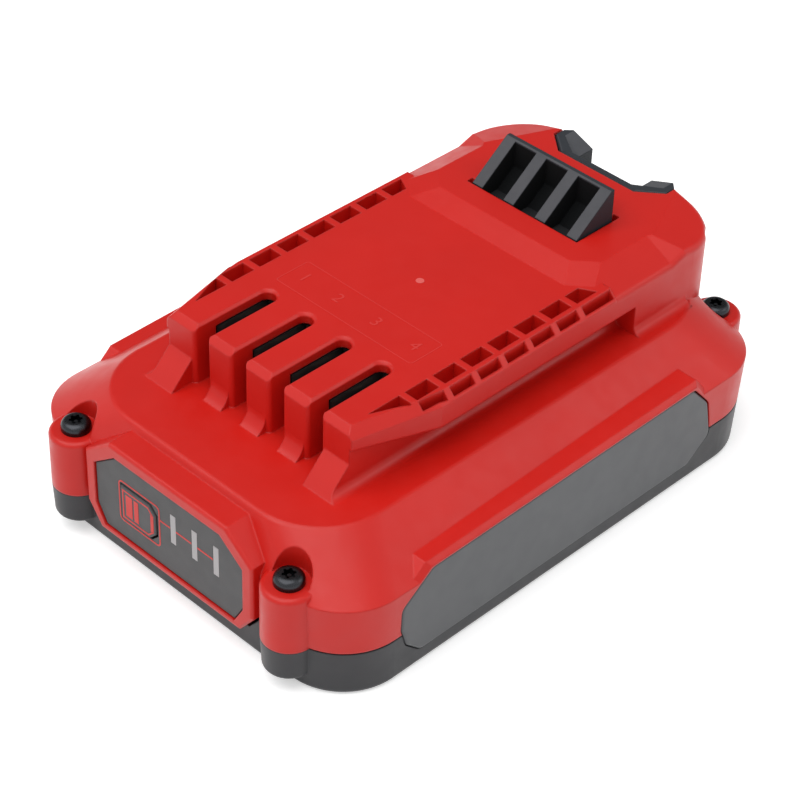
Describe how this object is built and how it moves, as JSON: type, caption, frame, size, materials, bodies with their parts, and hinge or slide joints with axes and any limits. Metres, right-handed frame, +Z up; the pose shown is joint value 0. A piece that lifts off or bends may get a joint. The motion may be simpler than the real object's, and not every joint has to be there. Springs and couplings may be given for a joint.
{
  "type": "power tool battery pack",
  "caption": "Slide-on battery pack for a cordless tool, with rail tower, open terminal slots, sprung latch and a push-button charge gauge.",
  "frame": {"origin": "centre of the underside, on the surface the pack rests on", "axes": "+Z up through the rail tower, +Y from the charge gauge to the latch, +X to the right when the gauge is looked at"},
  "size_m": [0.08, 0.116, 0.0471],
  "materials": {
    "red_shell": "satin moulded red plastic",
    "charcoal_plastic": "fine matt charcoal plastic",
    "black_plastic": "matt black plastic",
    "spring_steel": "bright drawn wire",
    "clear_plastic": "translucent white",
    "circuit_board": "green solder mask",
    "cell_wrap": "shrink sleeve over a can",
    "card_ring": "uncoated card",
    "white_plastic": "natural white plastic",
    "nickel_strip": "nickel strip",
    "film": "insulating film",
    "screw_steel": "black zinc",
    "chip_plastic": "moulded epoxy",
    "capacitor_can": "sleeved can",
    "clip_copper": "tinned copper alloy",
    "foam": "closed-cell foam"
  },
  "bodies": {
    "case": {"upper_housing": "red_shell", "lower_housing": "charcoal_plastic", "side_panel_right": "charcoal_plastic", "side_panel_left": "charcoal_plastic", "latch_springs": "spring_steel", "gauge_panel": "charcoal_plastic", "gauge_light_pipes": "clear_plastic", "gauge_board": "circuit_board", "gauge_leds": "clear_plastic", "gauge_switch_body": "chip_plastic", "gauge_cable": "white_plastic", "cell_1": "cell_wrap", "cell_2": "cell_wrap", "cell_3": "cell_wrap", "cell_4": "cell_wrap", "cell_5": "cell_wrap", "cell_rings": "card_ring", "cell_holder_right": "white_plastic", "cell_holder_left": "white_plastic", "lead_positive": "nickel_strip", "link_1_2": "nickel_strip", "link_3_4": "nickel_strip", "lead_negative": "nickel_strip", "link_2_3": "nickel_strip", "link_4_5": "nickel_strip", "insulator_right": "film", "insulator_left": "film", "main_board": "circuit_board", "board_screws": "screw_steel", "board_mosfets": "chip_plastic", "board_controller": "chip_plastic", "board_capacitors": "capacitor_can", "board_fuse": "chip_plastic", "terminal_block": "black_plastic", "terminal_clip_1": "clip_copper", "terminal_clip_2": "clip_copper", "terminal_clip_3": "clip_copper", "terminal_clip_4": "clip_copper", "thermistor": "black_plastic", "foam_pads": "foam", "case_screws": "screw_steel"},
    "latch": {"latch": "black_plastic"},
    "charge_button": {"gauge_button": "charcoal_plastic"},
    "switch_plunger": {"gauge_switch_plunger": "white_plastic"}
  },
  "joints": [
    {"name": "latch_slide", "type": "slide", "parent": "case", "child": "latch", "axis": [0, 0, -1], "range_m": [0, 0.006], "stiffness_N_per_m": 900, "springref_m": -0.004, "deforming": ["latch_springs"]},
    {"name": "charge_button_press", "type": "slide", "parent": "case", "child": "charge_button", "axis": [0, 1, 0], "range_m": [0, 0.0005], "stiffness_N_per_m": 1500, "springref_m": -0.0005},
    {"name": "switch_plunger_press", "type": "slide", "parent": "case", "child": "switch_plunger", "axis": [0, 1, 0], "range_m": [0, 0.0008]}
  ],
  "couplings": [
    {"joint": "switch_plunger_press", "follows": "charge_button_press", "ratio": 1}
  ]
}
